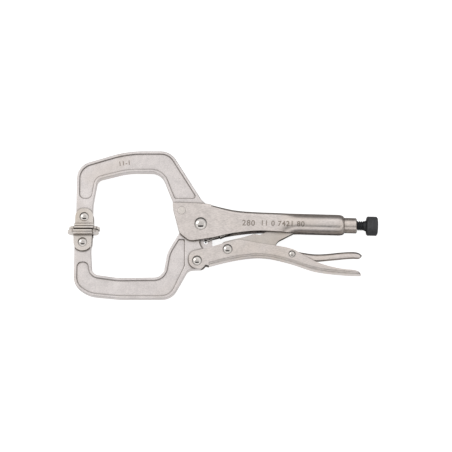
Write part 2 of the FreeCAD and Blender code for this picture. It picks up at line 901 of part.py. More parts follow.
def make_lower_handle():
    ear = S["grip_ear"]
    web_start = SHEET["grip_web_start"]
    cheeks = cheek_plates(
        "grip_ears",
        [
            (S["grip_web_start"], -21.9, 0),
            (S["grip_web_start"], -37.9, 0),
            (4.2, -37.0, 0.8),
            (3.4, S["grip_pivot_y"] - ear + 1.0, 5),
            (S["grip_pivot_x"] - ear + 0.6, S["grip_pivot_y"] - ear + 0.4, 7),
            (S["grip_pivot_x"] - ear, S["grip_pivot_y"] + ear, 6.5),
        ],
        grip_half,
        channel_half,
        [(S["grip_pivot_x"], S["grip_pivot_y"], S["grip_shank"])],
    )
    place(cheeks)
    length = SHEET["grip_length"]
    top = smooth_profile(
        [
            (web_start, -21.9),
            (25, -16.6),
            (34, -14.8),
            (51, -17.6),
            (SHEET["release_x"], -23.0),
            (SHEET["release_x"] + 11, -29.2),
            (SHEET["release_x"] + 24, -35.8),
            (SHEET["release_x"] + 42, -40.7),
            (length, -42.6),
        ]
    )
    bottom = smooth_profile(
        [
            (web_start, -37.9),
            (23, -33.8),
            (37, -31.1),
            (51, -29.8),
            (64, -31.0),
            (SHEET["release_x"], -35.5),
            (SHEET["release_x"] + 21, -42.3),
            (SHEET["release_x"] + 47, -45.6),
            (length, -46.2),
        ]
    )
    sections = []
    for x in stations_between(web_start, length, 40):
        sections.append(
            channel_section(x, top(x), bottom(x), grip_half.value, SHEET["grip_sheet"], SHEET["grip_bend"])
        )
    channel = lofted_sheet("grip_channel", sections)
    link_hole = (S["link_pivot_x"], S["link_pivot_y"], S["grip_shank"])
    release_hole = (S["release_x"], S["release_y"], S["release_shank"])
    drilled = cut("drilled_grip", channel, add_bar("grip_holes", [link_hole, release_hole]))
    end = S["grip_length"]
    tip_trim = add_trim(
        "grip_tip_trim",
        [
            (end - 10.5, -38.0, 0),
            (end - 9.5, -41.6, 3),
            (end - 3.0, -42.9, 6),
            (end + 0.6, -46.0, 0),
            (end + 3.0, -46.0, 0),
            (end + 3.0, -38.0, 0),
        ],
    )
    trimmed = cut("trimmed_grip", drilled, tip_trim)
    rounded = cut("rounded_grip", trimmed, add_end_round("grip_end_round", end, grip_half))
    return fuse("lower_handle", [cheeks, rounded])


def cut(name, base, tool):
    feature = doc.addObject("Part::Cut", name)
    feature.Label = name
    feature.Base = base
    feature.Tool = tool
    doc.recompute()
    if feature.Shape.Volume > base.Shape.Volume - 0.01:
        raise RuntimeError(f"{name} cuts nothing")
    return feature


def add_trim(name, outline):
    """A block of this outline right across the tool, used to trim formed sheet."""
    body = new_body(name)
    sketch = add_sketch(body, "trim_outline")
    draw_outline(sketch, outline)
    pad(body, "trim", sketch, 3 * S["tube_radius"])
    place(body)
    return body


def add_end_round(name, end, half):
    """What lies outside a channel's rounded end, seen along the tool's Y axis."""
    body = new_body(name)
    sketch = add_sketch(body, "end_outline", "XZ_Plane")
    round_end = half * 0.8
    draw_outline(
        sketch,
        [
            (end - 1.2 * half, -1 * half, 0),
            (end, -1 * half, round_end),
            (end, half, round_end),
            (end - 1.2 * half, half, 0),
            (end - 1.2 * half, 2 * half, 0),
            (end + half, 2 * half, 0),
            (end + half, -2 * half, 0),
            (end - 1.2 * half, -2 * half, 0),
        ],
    )
    pad(body, "end_round", sketch, S["throat_drop"] * 2)
    place(body)
    return body


def add_bar(name, circles):
    """Round bars right across the tool, used to drill formed sheet."""
    body = new_body(name)
    for number, (x, y, radius) in enumerate(circles):
        sketch = add_sketch(body, f"bar{number}_outline")
        draw_circle(sketch, x, y, radius)
        pad(body, f"bar{number}", sketch, 3 * S["tube_radius"])
    place(body)
    return body


def make_release_lever():
    x0 = SHEET["release_x"]
    half = channel_half - S["lever_gap"]
    front, rear = x0 - SHEET["lever_front"], x0 + SHEET["lever_rear"]
    web = smooth_profile(
        [
            (front, -23.4),
            (x0 - 6, -22.9),
            (x0 + 2, -24.0),
            (x0 + 11, -25.8),
            (x0 + 21, -27.0),
            (x0 + 31, -26.7),
            (x0 + 44, -25.4),
            (x0 + 55, -24.9),
            (x0 + 60, -25.8),
            (rear, -28.2),
        ]
    )
    edge = smooth_profile(
        [
            (front, -26.4),
            (x0 - 8, -30.6),
            (x0, -32.0),
            (x0 + 8, -32.4),
            (x0 + 20, -33.1),
            (x0 + 36, -31.8),
            (x0 + 55, -30.2),
            (rear, -31.2),
        ]
    )
    sheet_thick, bend = SHEET["lever_sheet"], SHEET["lever_bend"]
    sections = []
    for x in stations_between(front, rear, 32):
        sections.append(channel_section(x, edge(x), web(x), half.value, sheet_thick, bend))
    blank = lofted_sheet("lever_blank", sections)
    bore = S["release_shank"] + S["running_gap"]
    drilled = cut("drilled_lever", blank, add_bar("lever_bore", [(S["release_x"], S["release_y"], bore)]))
    end = S["release_x"] + S["lever_rear"]
    tip_trim = add_trim(
        "lever_tip_trim",
        [
            (end - 7.0, -33.0, 0),
            (end - 6.0, -30.3, 2),
            (end - 2.2, -30.4, 2.4),
            (end + 0.4, -28.6, 0),
            (end + 3.0, -28.6, 0),
            (end + 3.0, -33.0, 0),
        ],
    )
    trimmed = cut("trimmed_lever", drilled, tip_trim)
    return cut("release_lever", trimmed, add_end_round("lever_end_round", end, half))


def make_toggle_link():
    body = new_body("toggle_link")
    x, y = S["link_pivot_x"], S["link_pivot_y"]
    tip_x, tip_y = S["toggle_x"], S["toggle_y"]
    hub = S["hub_radius"]
    bar = add_sketch(body, "bar_outline")
    draw_outline(
        bar,
        [
            (x - hub, y - hub, hub - 0.2),
            (x - hub, y + hub, hub - 0.2),
            (x + 13.5, y + 11.3, 20),
            (x + 24.5, y + 14.5, 1.5),
            (x + 28.8, y + 13.4, 1.2),
            (x + 33.4, y + 15.4, 2),
            (x + 46, y + 22.0, 10),
            (tip_x - 6, tip_y + 3.6, 12),
            (tip_x, tip_y + 3.2, 3),
            (tip_x, tip_y - 3.2, 3),
            (tip_x - 6.0, tip_y - 3.8, 8),
            (tip_x - 15.3, tip_y - 8.5, 12),
            (tip_x - 29.2, tip_y - 15.6, 7),
            (tip_x - 33.0, tip_y - 21.6, 6),
            (tip_x - 33.6, tip_y - 26.0, 2),
            (tip_x - 40, tip_y - 26.4, 8),
        ],
    )
    pad(body, "bar", bar, S["link_thickness"])
    boss = add_sketch(body, "hub_outline")
    draw_circle(boss, x, y, hub)
    pad(body, "hub", boss, S["forging_thickness"])
    drill(body, "bore", [(x, y, S["grip_shank"] + S["running_gap"])])
    place(body)
    return body


# ---------------------------------------------------------------- adjusting screw


def place_on_axis(body):
    """Puts a piece drawn along X from the toggle's tip onto the screw's axis, which falls to the knob."""
    place(body, S["toggle_x"], S["toggle_y"])
    body.setExpression("Placement.Rotation.Angle", "atan(0 - Sizes.axis_drop)")


def make_screw():
    body = new_body("adjusting_screw")
    nose = S["toggle_gap"]
    start = -1 * S["toggle_x"]
    radius = S["screw_radius"]
    stub_end = S["knob_end"] + start - S["stub_short"]
    corners = [
        (nose, 0, 0),
        (nose, radius - 1.6, 1),
        (nose + 2.0, radius, 0.5),
        (S["collar_start"] + start, radius, 0),
        (S["collar_start"] + start, S["collar_radius"], 0.2),
        (S["knob_start"] + start, S["collar_radius"], 0.2),
        (S["knob_start"] + start, S["stub_radius"], 0),
        (stub_end, S["stub_radius"], 0.3),
        (stub_end, 0, 0),
    ]
    revolve(body, "screw", corners, "XY_Plane", "H_Axis")
    place_on_axis(body)
    return body


def make_knob():
    body = new_body("screw_head")
    start = -1 * S["toggle_x"]
    near = S["knob_start"] + start + S["running_gap"]
    far = S["knob_end"] + start
    bore = S["stub_radius"] + S["running_gap"]
    depth = far - S["stub_short"] + S["running_gap"]
    corners = [
        (near, bore, 0),
        (near, S["knob_radius"] - S["knob_chamfer"], 0),
        (near + S["knob_chamfer"], S["knob_radius"], 0.3),
        (far - S["knob_chamfer"], S["knob_radius"], 0.3),
        (far, S["knob_radius"] - S["knob_chamfer"] * 1.3, 0.4),
        (far, 0, 0),
        (depth, 0, 0),
        (depth, bore, 0),
    ]
    revolve(body, "knob", corners, "XY_Plane", "H_Axis")
    place_on_axis(body)
    return body


# ---------------------------------------------------------------- return spring


def on_spring(distance, above=0.0):
    """A point on the spring's line, that far from the lug's hole, and above the tool's middle plane."""
    start = Vector(SHEET["lug_hole_x"], SHEET["lug_hole_y"], 0)
    end = Vector(SHEET["tab_x"], SHEET["tab_y"], 0)
    return start + (end - start).normalize() * distance + Vector(0, 0, above)


def add_rod(name, start, end, radius):
    """A round rod between two points, as a bound cylinder."""
    rod = doc.addObject("Part::Cylinder", name)
    run = end - start
    bind(rod, "Radius", radius)
    rod.Height = run.Length
    rotation = FreeCAD.Rotation(Vector(0, 0, 1), run)
    offset = Vector(pivot_x.value, pivot_y.value, mid_z.value)
    rod.Placement = FreeCAD.Placement(start + offset, rotation)
    bind(rod, "Placement.Base.x", pivot_x + start.x)
    bind(rod, "Placement.Base.y", pivot_y + start.y)
    bind(rod, "Placement.Base.z", mid_z + start.z)
    return rod


def make_spring():
    wire = S["wire_radius"]
    thick = SHEET["wire_radius"]
    beside_lug = SHEET["lug_thickness"] / 2 + thick + SHEET["ear_gap"]
    coil_start = SHEET["coil_start"]
    coil_end = coil_start + SHEET["coil_length"]
    tab = math.dist((SHEET["lug_hole_x"], SHEET["lug_hole_y"]), (SHEET["tab_x"], SHEET["tab_y"]))
    anchor = tab + SHEET["tab_thickness"] / 2 + thick + 0.4
    rods = [
        add_rod("coil", on_spring(coil_start), on_spring(coil_end), S["coil_radius"]),
        add_rod("lug_hook", on_spring(0, beside_lug), on_spring(coil_start + thick, beside_lug * 0.9), wire),
        add_rod("lug_hook_end", on_spring(0, beside_lug + thick * 0.4), on_spring(0, -beside_lug), wire),
        add_rod("tab_hook", on_spring(coil_end - thick), on_spring(anchor), wire),
        add_rod("tab_hook_end", on_spring(anchor - thick * 0.3, thick * 0.4), on_spring(anchor - thick * 0.3, -2.8), wire),
    ]
    return fuse("return_spring", rods)


# ---------------------------------------------------------------- assembly

parts = [
    make_upper_handle(),
    make_fixed_jaw(),
    make_rivet("main_pivot_rivet", 0, 0, S["main_shank"], S["main_head"], S["main_dome"], cheek_half),
    make_lower_jaw(),
    make_pad("upper_pad", -S["jaw_reach"], S["pad_pivot_rise"], -1),
    make_pad("lower_pad", -S["lower_reach"], lower_pad_y, 1),
    make_lower_handle(),
    make_toggle_link(),
    make_release_lever(),
    make_screw(),
    make_knob(),
    make_spring(),
]
for label, x, y in (
    ("jaw_handle_rivet", S["grip_pivot_x"], S["grip_pivot_y"]),
    ("link_rivet", S["link_pivot_x"], S["link_pivot_y"]),
):
    parts.append(make_rivet(label, x, y, S["grip_shank"], S["grip_head"], S["grip_dome"], grip_half))
parts.append(
    make_rivet(
        "release_rivet",
        S["release_x"],
        S["release_y"],
        S["release_shank"],
        S["release_head"],
        S["release_dome"],
        grip_half,
    )
)
ear_outside = forging_half + S["ear_gap"] + S["pad_sheet"]
for label, x, y in (
    ("upper_pad_rivet", -S["jaw_reach"], S["pad_pivot_rise"]),
    ("lower_pad_rivet", -S["lower_reach"], lower_pad_y),
):
    parts.append(make_rivet(label, x, y, S["pad_shank"], S["pad_head"], S["pad_dome"], ear_outside))
plug = new_body("jaw_fixing_rivet")
plug_sketch = add_sketch(plug, "plug_outline")
draw_circle(plug_sketch, S["fixing_x"], S["fixing_y"], S["plug_radius"])
pad(plug, "plug", plug_sketch, 2 * cheek_half)
place(plug)
parts.append(plug)

doc.recompute()
faults = []
for thing in doc.Objects:
    if "Invalid" in thing.State or "Error" in thing.State:
        faults.append(f"{thing.Label}: {thing.State}")
for piece in parts:
    if piece.Shape.isNull() or not piece.Shape.isValid():
        faults.append(f"{piece.Label}: bad shape")
if faults:
    raise RuntimeError("; ".join(faults))
os.makedirs("parts", exist_ok=True)
for piece in parts:
    piece.Shape.exportStep(f"parts/{piece.Label}.step")
    box = piece.Shape.BoundBox
    span = " ".join(f"{low:.2f}..{high:.2f}" for low, high in (
        (box.XMin, box.XMax), (box.YMin, box.YMax), (box.ZMin, box.ZMax)))
    print(f"{piece.Label:18s} solids {len(piece.Shape.Solids)} volume {piece.Shape.Volume:9.1f} {span}")
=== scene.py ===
"""Looks for the locking C-clamp.

Satin nickel sheet and forgings, bright rivets and a black adjusting screw.
"""
import json
import math

import bmesh
import bpy
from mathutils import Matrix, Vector
from mathutils.bvhtree import BVHTree


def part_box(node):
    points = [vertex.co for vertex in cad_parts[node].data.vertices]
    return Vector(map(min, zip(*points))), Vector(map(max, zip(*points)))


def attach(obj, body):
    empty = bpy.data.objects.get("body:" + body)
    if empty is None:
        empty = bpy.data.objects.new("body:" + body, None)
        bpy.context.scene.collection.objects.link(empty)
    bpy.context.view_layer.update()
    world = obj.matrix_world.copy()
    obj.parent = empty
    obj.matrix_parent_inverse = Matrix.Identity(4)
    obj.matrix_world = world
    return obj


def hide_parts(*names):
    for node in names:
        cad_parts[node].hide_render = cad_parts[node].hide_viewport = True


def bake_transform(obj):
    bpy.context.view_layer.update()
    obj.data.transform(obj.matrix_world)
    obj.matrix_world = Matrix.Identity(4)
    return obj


MM = 0.001
TOLERANCE = 1e-6  # in metres, for comparing radii

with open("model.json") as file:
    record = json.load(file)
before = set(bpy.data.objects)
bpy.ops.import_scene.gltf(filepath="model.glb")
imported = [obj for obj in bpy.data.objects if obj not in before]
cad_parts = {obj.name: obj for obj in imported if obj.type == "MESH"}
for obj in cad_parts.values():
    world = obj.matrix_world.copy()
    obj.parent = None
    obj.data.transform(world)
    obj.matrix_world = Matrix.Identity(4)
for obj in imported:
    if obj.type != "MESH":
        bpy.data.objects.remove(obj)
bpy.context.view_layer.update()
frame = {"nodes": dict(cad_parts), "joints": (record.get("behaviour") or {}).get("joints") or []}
nodes = frame["nodes"]
joints = {joint["name"]: joint for joint in frame["joints"]}

# ---------------------------------------------------------------- camera, floor and light

MID_PLANE = 0.01125  # height of the tool's middle plane above the floor, in metres
CAMERA_TARGET = Vector((0.0030, -0.0007, MID_PLANE))
CAMERA_DISTANCE = 1.5
CAMERA_ELEVATION = math.radians(78.5)
CAMERA_LENS = 132.6

camera_data = bpy.data.cameras.new("camera")
camera_data.sensor_width = 36  # mm
camera_data.lens = CAMERA_LENS
camera_data.clip_start = 0.05
camera = bpy.data.objects.new("camera", camera_data)
bpy.context.scene.collection.objects.link(camera)
offset = Vector((0, -math.cos(CAMERA_ELEVATION), math.sin(CAMERA_ELEVATION))) * CAMERA_DISTANCE
camera.location = CAMERA_TARGET + offset
camera.rotation_euler = (-offset).to_track_quat("-Z", "Y").to_euler()
bpy.context.scene.camera = camera
bpy.context.scene.view_settings.view_transform = "Standard"


class Graph:
    """A small helper that adds shader nodes and joins them."""

    def __init__(self, tree):
        self.tree = tree
        tree.nodes.clear()

    def add(self, kind, _settings=None, **sockets):
        node = self.tree.nodes.new(kind)
        for name, value in (_settings or {}).items():
            setattr(node, name, value)
        for name, value in sockets.items():
            self.set(node, name.replace("_", " "), value)
        return node

    def set(self, node, name, value):
        socket = node.inputs[int(name)] if name.isdigit() else node.inputs[name]
        if isinstance(value, bpy.types.NodeSocket):
            self.tree.links.new(value, socket)
        else:
            socket.default_value = value

    def math(self, operation, first, second=0.0):
        node = self.add("ShaderNodeMath", {"operation": operation})
        self.set(node, "0", first)
        self.set(node, "1", second)
        return node.outputs[0]

    def ramp(self, value, low, high, out_low=0.0, out_high=1.0):
        """A smooth step from out_low to out_high as the value goes from low to high."""
        node = self.add("ShaderNodeMapRange", {"interpolation_type": "SMOOTHSTEP"})
        self.set(node, "0", value)
        for number, limit in enumerate((low, high, out_low, out_high), start=1):
            node.inputs[number].default_value = limit
        return node.outputs[0]

    def mix(self, share, first, second):
        """A colour between the first and the second."""
        node = self.add("ShaderNodeMix", {"data_type": "RGBA"})
        self.set(node, "0", share)
        self.set(node, "6", first)
        self.set(node, "7", second)
        return node.outputs[2]

    def noise(self, vector, scale, detail, roughness):
        node = self.add("ShaderNodeTexNoise")
        self.set(node, "Vector", vector)
        self.set(node, "Scale", scale)
        self.set(node, "Detail", detail)
        self.set(node, "Roughness", roughness)
        return node.outputs[0]

    def stretched(self, vector, scale):
        node = self.add("ShaderNodeMapping")
        self.set(node, "Vector", vector)
        self.set(node, "Scale", scale)
        return node.outputs[0]


def rgb(red, green, blue):
    return (red, green, blue, 1.0)


def grey(level):
    return rgb(level, level, level)


def scaled(colour, *factors):
    return rgb(*[min(part * factor, 1.0) for part, factor in zip(colour, factors)])


# Brightness of the studio's walls and ceiling, by the sine of the angle above the horizon
SKY_STOPS = [
    (0.0, 0.10),
    (0.12, 0.06),
    (0.26, 0.12),
    (0.42, 0.80),
    (0.66, 1.45),
    (0.84, 1.08),
    (1.0, 0.98),
]
# A black card overhead, towards the front: the dark bar on each rivet is its reflection.
# Its place and size are slopes from the vertical, with a soft edge between the two numbers.
CARD_LEAN = 0.50
CARD_HALF_WIDTH = (0.66, 0.72)
CARD_HALF_DEPTH = (0.19, 0.22)
CARD_LOWEST = (0.25, 0.35)

world = bpy.data.worlds.new("studio")
bpy.context.scene.world = world
world.use_nodes = True
g = Graph(world.node_tree)
direction = g.add("ShaderNodeTexCoord").outputs["Generated"]
side_x, side_y, height = g.add("ShaderNodeSeparateXYZ", Vector=direction).outputs
ramp = g.add("ShaderNodeValToRGB", Fac=height)
elements = ramp.color_ramp.elements
for element, (position, level) in zip(elements, (SKY_STOPS[0], SKY_STOPS[-1])):
    element.position, element.color = position, grey(level)
for position, level in SKY_STOPS[1:-1]:
    elements.new(position).color = grey(level)
lean_x = g.math("ABSOLUTE", g.math("DIVIDE", side_x, height))
lean_y = g.math("ABSOLUTE", g.math("ADD", g.math("DIVIDE", side_y, height), CARD_LEAN))
card_x = g.ramp(lean_x, *CARD_HALF_WIDTH, 1.0, 0.0)
card_y = g.ramp(lean_y, *CARD_HALF_DEPTH, 1.0, 0.0)
card = g.math("MULTIPLY", g.math("MULTIPLY", card_x, card_y), g.ramp(height, *CARD_LOWEST))
sky = g.mix(card, ramp.outputs[0], grey(0.0))
background = g.add("ShaderNodeBackground", Color=sky, Strength=1.0)
g.add("ShaderNodeOutputWorld", Surface=background.outputs[0])

SOFTBOX_PLACE = Vector((-0.85, 0.45, 0.95))
SOFTBOX_SIZE = 0.75
SOFTBOX_WATTS = 2.6

light = bpy.data.lights.new("left_softbox", "AREA")
light.shape = "SQUARE"
light.size = SOFTBOX_SIZE
light.energy = SOFTBOX_WATTS
softbox = bpy.data.objects.new("left_softbox", light)
bpy.context.scene.collection.objects.link(softbox)
softbox.location = SOFTBOX_PLACE
softbox.rotation_euler = (-SOFTBOX_PLACE).to_track_quat("-Z", "Y").to_euler()

FLOOR_HALF = 3.0
FLOOR_DROP = 0.0002  # keeps the floor just below the faces that rest on it

# What the metal sees of the floor: white below the handles' front edges and inside the C,
# and grey elsewhere, which draws the thin dark edges of the plating. In metres.
FLOOR_FRONT = (0.024, 0.040)
FLOOR_LEFT = (0.038, 0.050)
FLOOR_LEFT_TOP = (0.070, 0.085)
FLOOR_SEEN_WHITE = 0.75
FLOOR_WHITE = grey(0.34)
FLOOR_GLOW = 0.9
FLOOR_SHADE = rgb(0.20, 0.19, 0.18)

floor_mesh = bpy.data.meshes.new("floor")
floor_signs = [(-1, -1), (1, -1), (1, 1), (-1, 1)]
floor_corners = [(x * FLOOR_HALF, y * FLOOR_HALF, 0.0) for x, y in floor_signs]
floor_mesh.from_pydata(floor_corners, [], [(0, 1, 2, 3)])
floor = bpy.data.objects.new("floor", floor_mesh)
bpy.context.scene.collection.objects.link(floor)
floor.location.z = -FLOOR_DROP
floor_material = bpy.data.materials.new("floor")
floor_material.use_nodes = True
g = Graph(floor_material.node_tree)
white = g.add("ShaderNodeBsdfPrincipled", Base_Color=FLOOR_WHITE, Roughness=0.9)
g.set(white, "Emission Color", grey(1.0))
g.set(white, "Emission Strength", FLOOR_GLOW)
shade = g.add("ShaderNodeBsdfPrincipled", Base_Color=FLOOR_SHADE, Roughness=0.9)
direct = g.add("ShaderNodeLightPath").outputs["Is Camera Ray"]
place = g.add("ShaderNodeTexCoord").outputs["Object"]
floor_x, floor_y = g.add("ShaderNodeSeparateXYZ", Vector=place).outputs[:2]
front = g.ramp(g.math("MULTIPLY", floor_y, -1.0), *FLOOR_FRONT, 0.0, FLOOR_SEEN_WHITE)
left = g.ramp(g.math("MULTIPLY", floor_x, -1.0), *FLOOR_LEFT, 0.0, FLOOR_SEEN_WHITE)
left = g.math("MULTIPLY", left, g.ramp(floor_y, *FLOOR_LEFT_TOP, 1.0, 0.0))
surface = g.add("ShaderNodeMixShader")
g.set(surface, "0", g.math("MAXIMUM", direct, g.math("MAXIMUM", front, left)))
g.set(surface, "1", shade.outputs[0])
g.set(surface, "2", white.outputs[0])
g.add("ShaderNodeOutputMaterial", Surface=surface.outputs[0])
floor_mesh.materials.append(floor_material)

# ---------------------------------------------------------------- materials

# Sizes in metres
CREVICE_REACH = 0.0026
CLOUD_SIZE = 0.009
BROAD_SIZE = 0.035
PIT_SPACING = 0.0042
SEAM_HALF_WIDTH = (0.00025, 0.0006)
OXIDE_GRAIN = 0.0005
OXIDE_GRAIN_DEPTH = 0.00002
OXIDE_CLOUD_SIZE = 0.006

# Colours that time leaves on the plating; the crevice colour is partly dirt and mostly painted
# shade
CREVICE_DIRT_AND_SHADE = rgb(0.10, 0.08, 0.06)
PIT_RUST = rgb(0.20, 0.16, 0.13)
SEAM_SHADE = rgb(0.25, 0.22, 0.20)
SEAM_SHARE = 0.35
RUBBED_STEEL = rgb(0.16, 0.16, 0.165)


def blank_material(name):
    material = bpy.data.materials.new(name)
    material.use_nodes = True
    return material, Graph(material.node_tree)


def metal(
    name,
    colour,
    roughness,
    grain,
    grain_depth,
    stain,
    streaks=None,
    pits=0.0,
    crevice=0.92,
    seam=False,
):
    """Plated steel, with uneven gloss, faint brown stains, and painted shade in crevices and
    along edges, partly dirt.

    grain is the size of the fine texture in metres and grain_depth its height; streaks
    stretches it along x. stain, pits and crevice are the most that each one covers.
    seam draws the forging's parting line round the middle plane.
    """
    material, g = blank_material(name)
    place = g.add("ShaderNodeTexCoord").outputs["Object"]
    fine_place = g.stretched(place, streaks) if streaks else place
    fine = g.noise(fine_place, 1 / grain, 4.0, 0.6)
    cloud = g.noise(place, 1 / CLOUD_SIZE, 3.0, 0.5)
    broad = g.noise(place, 1 / BROAD_SIZE, 2.0, 0.5)
    tone = g.math("ADD", g.math("MULTIPLY", cloud, 0.3), g.math("MULTIPLY", fine, 0.7))
    dark = scaled(colour, 0.80, 0.80, 0.80)
    light = scaled(colour, 1.10, 1.10, 1.10)
    body = g.mix(g.ramp(tone, 0.32, 0.68), dark, light)
    patch = g.math("MULTIPLY", g.ramp(broad, 0.48, 0.72), stain)
    body = g.mix(patch, body, scaled(colour, 0.80, 0.72, 0.60))
    # Painted shade, partly dirt: the AO node darkens crevices, recesses, steps and the rims of
    # rivets towards a dark brown.
    corner = g.add("ShaderNodeAmbientOcclusion", {"samples": 8}, Distance=CREVICE_REACH)
    dirt_and_shade = g.ramp(corner.outputs["AO"], 0.52, 0.93, crevice, 0.0)
    body = g.mix(dirt_and_shade, body, CREVICE_DIRT_AND_SHADE)
    if pits:
        cells = g.add(
            "ShaderNodeTexVoronoi", {"feature": "F1"}, Vector=place, Scale=1 / PIT_SPACING
        )
        spot = g.ramp(cells.outputs["Distance"], 0.05, 0.11, 1.0, 0.0)
        spot = g.math("MULTIPLY", spot, g.ramp(cloud, 0.52, 0.6))
        body = g.mix(g.math("MULTIPLY", spot, pits), body, PIT_RUST)
    if seam:
        z = g.add("ShaderNodeSeparateXYZ", Vector=place).outputs["Z"]
        off_middle = g.math("ABSOLUTE", g.math("SUBTRACT", z, MID_PLANE))
        line = g.ramp(off_middle, *SEAM_HALF_WIDTH, 1.0, 0.0)
        body = g.mix(g.math("MULTIPLY", line, SEAM_SHARE), body, SEAM_SHADE)
    wear = g.math("ADD", g.math("MULTIPLY", fine, 0.5), g.math("MULTIPLY", broad, 0.5))
    gloss = g.ramp(wear, 0.3, 0.7, roughness * 0.82, roughness * 1.18)
    bump = g.add("ShaderNodeBump", Height=fine, Distance=grain_depth, Strength=1.0)
    wave = g.add("ShaderNodeBump", Height=cloud, Distance=grain_depth * 2.5, Strength=1.0)
    g.set(wave, "Normal", bump.outputs[0])
    shader = g.add("ShaderNodeBsdfPrincipled", Base_Color=body, Metallic=1.0, Roughness=gloss)
    g.set(shader, "Normal", wave.outputs[0])
    g.add("ShaderNodeOutputMaterial", Surface=shader.outputs[0])
    return material


def oxide(name, colour, roughness, wear):
    """Black oxide on steel: dull and even, greyer where hands and threads rub it."""
    material, g = blank_material(name)
    place = g.add("ShaderNodeTexCoord").outputs["Object"]
    fine = g.noise(place, 1 / OXIDE_GRAIN, 4.0, 0.6)
    cloud = g.noise(place, 1 / OXIDE_CLOUD_SIZE, 3.0, 0.5)
    dark = scaled(colour, 0.8, 0.8, 0.8)
    light = scaled(colour, 1.2, 1.2, 1.2)
    body = g.mix(g.ramp(cloud, 0.3, 0.7), dark, light)
    rub = g.math("MULTIPLY", g.ramp(fine, 0.5, 0.75), wear)
    body = g.mix(rub, body, RUBBED_STEEL)
    gloss = g.ramp(cloud, 0.3, 0.7, roughness * 0.85, roughness * 1.15)
    bump = g.add("ShaderNodeBump", Height=fine, Distance=OXIDE_GRAIN_DEPTH, Strength=1.0)
    shader = g.add("ShaderNodeBsdfPrincipled", Base_Color=body, Metallic=0.35, Roughness=gloss)
    g.set(shader, "Normal", bump.outputs[0])
    g.add("ShaderNodeOutputMaterial", Surface=shader.outputs[0])
    return material


# Each metal: name, colour, roughness, grain, grain depth, stain
sheet_nickel = metal(
    "sheet_nickel",
    (0.66, 0.605, 0.575),
    0.34,
    0.0007,
    0.000022,
    0.24,
    streaks=(0.35, 1.0, 1.0),
    pits=0.5,
)
forged_nickel = metal(
    "forged_nickel", (0.675, 0.63, 0.615), 0.44, 0.0006, 0.00005, 0.20, pits=0.4, seam=True
)
pad_nickel = metal("pad_nickel", (0.66, 0.61, 0.57), 0.30, 0.0006, 0.00002, 0.5, pits=0.4)
link_nickel = metal("link_nickel", (0.60, 0.56, 0.53), 0.42, 0.0005, 0.00003, 0.35, pits=0.3)
bright_nickel = metal("bright_nickel", (0.54, 0.51, 0.485), 0.06, 0.0012, 0.000001, 0.12)
plug_nickel = metal("plug_nickel", (0.67, 0.62, 0.58), 0.36, 0.0007, 0.000015, 0.3)
spring_steel = metal(
    "spring_steel", (0.62, 0.60, 0.57), 0.22, 0.0004, 0.00001, 0.3, crevice=0.7
)
stamp_nickel = metal("stamp_nickel", (0.30, 0.26, 0.23), 0.42, 0.0006, 0.00002, 0.3)
knob_black = oxide("knob_black", (0.052, 0.053, 0.056), 0.50, 0.35)
thread_black = oxide("thread_black", (0.022, 0.023, 0.025), 0.42, 0.25)


def finish_node(name, material):
    thing = nodes[name]
    for place in thing.material_slots:
        place.material = material
    if not thing.material_slots:
        thing.data.materials.append(material)


for name in ("upper_handle", "lower_handle", "release_lever"):
    finish_node(name, sheet_nickel)
for name in ("fixed_jaw", "lower_jaw"):
    finish_node(name, forged_nickel)
for name in ("upper_pad", "lower_pad"):
    finish_node(name, pad_nickel)
finish_node("toggle_link", link_nickel)

# ---------------------------------------------------------------- mesh pieces


def make_piece(name, points, faces, material, body):
    """A smooth mesh piece that rides on a body, or on none if body is None."""
    mesh = bpy.data.meshes.new(name)
    mesh.from_pydata([tuple(p) for p in points], [], faces)
    mesh.validate()
    piece = bpy.data.objects.new(name, mesh)
    bpy.context.scene.collection.objects.link(piece)
    work = bmesh.new()
    work.from_mesh(mesh)
    bmesh.ops.remove_doubles(work, verts=work.verts, dist=1e-8)
    bmesh.ops.recalc_face_normals(work, faces=work.faces)
    work.to_mesh(mesh)
    work.free()
    for face in mesh.polygons:
        face.use_smooth = True
    mesh.materials.append(material)
    if body:
        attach(piece, body)
    return piece


def rings_to_faces(rings, around):
    """Quads between rings of points, with a cap on the first and the last ring."""
    faces = []
    for row in range(rings - 1):
        below, above = row * around, (row + 1) * around
        for i in range(around):
            j = (i + 1) % around
            faces.append((below + i, below + j, above + j, above + i))
    faces.append(tuple(range(around - 1, -1, -1)))
    faces.append(tuple(range((rings - 1) * around, rings * around)))
    return faces


def lathe(name, origin, axis, profile, around, material, body, radius_at=None):
    """Turns a profile of (distance along the axis, radius) round an axis.

    radius_at(along, radius, angle) may change each radius.
    """
    axis = Vector(axis).normalized()
    across = axis.orthogonal().normalized()
    other = axis.cross(across)
    points = []
    for along, radius in profile:
        for i in range(around):
            angle = 2 * math.pi * i / around
            r = radius_at(along, radius, angle) if radius_at else radius
            outward = across * math.cos(angle) + other * math.sin(angle)
            points.append(Vector(origin) + axis * along + outward * r)
    faces = rings_to_faces(len(profile), around)
    return make_piece(name, points, faces, material, body)


def arc_points(centre, radius, start, end, count):
    """(along, radius) points of an arc whose centre is on the axis; angles in degrees from it."""
    found = []
    for i in range(count + 1):
        angle = math.radians(start + (end - start) * i / count)
        found.append((centre + radius * math.cos(angle), radius * math.sin(angle)))
    return found


# Rivets: node, head height and shank radius in mm, and body
RIVETS = [
    ("main_pivot_rivet", 2.2, 4.0, "upper_body"),
    ("jaw_handle_rivet", 1.8, 3.0, "lower_handle_body"),
    ("link_rivet", 1.8, 3.0, "lower_handle_body"),
    ("release_rivet", 1.4, 2.1, "lower_handle_body"),
    ("upper_pad_rivet", 1.6, 2.8, "upper_pad_body"),
    ("lower_pad_rivet", 1.6, 2.8, "lower_pad_body"),
]
RIVET_SIDES = 72
RIM_SHARE = 0.16  # of the head's height
FOOT_SHARE = 0.96  # of the head's radius, where the dome leaves the rim
DOME_STEPS = 22


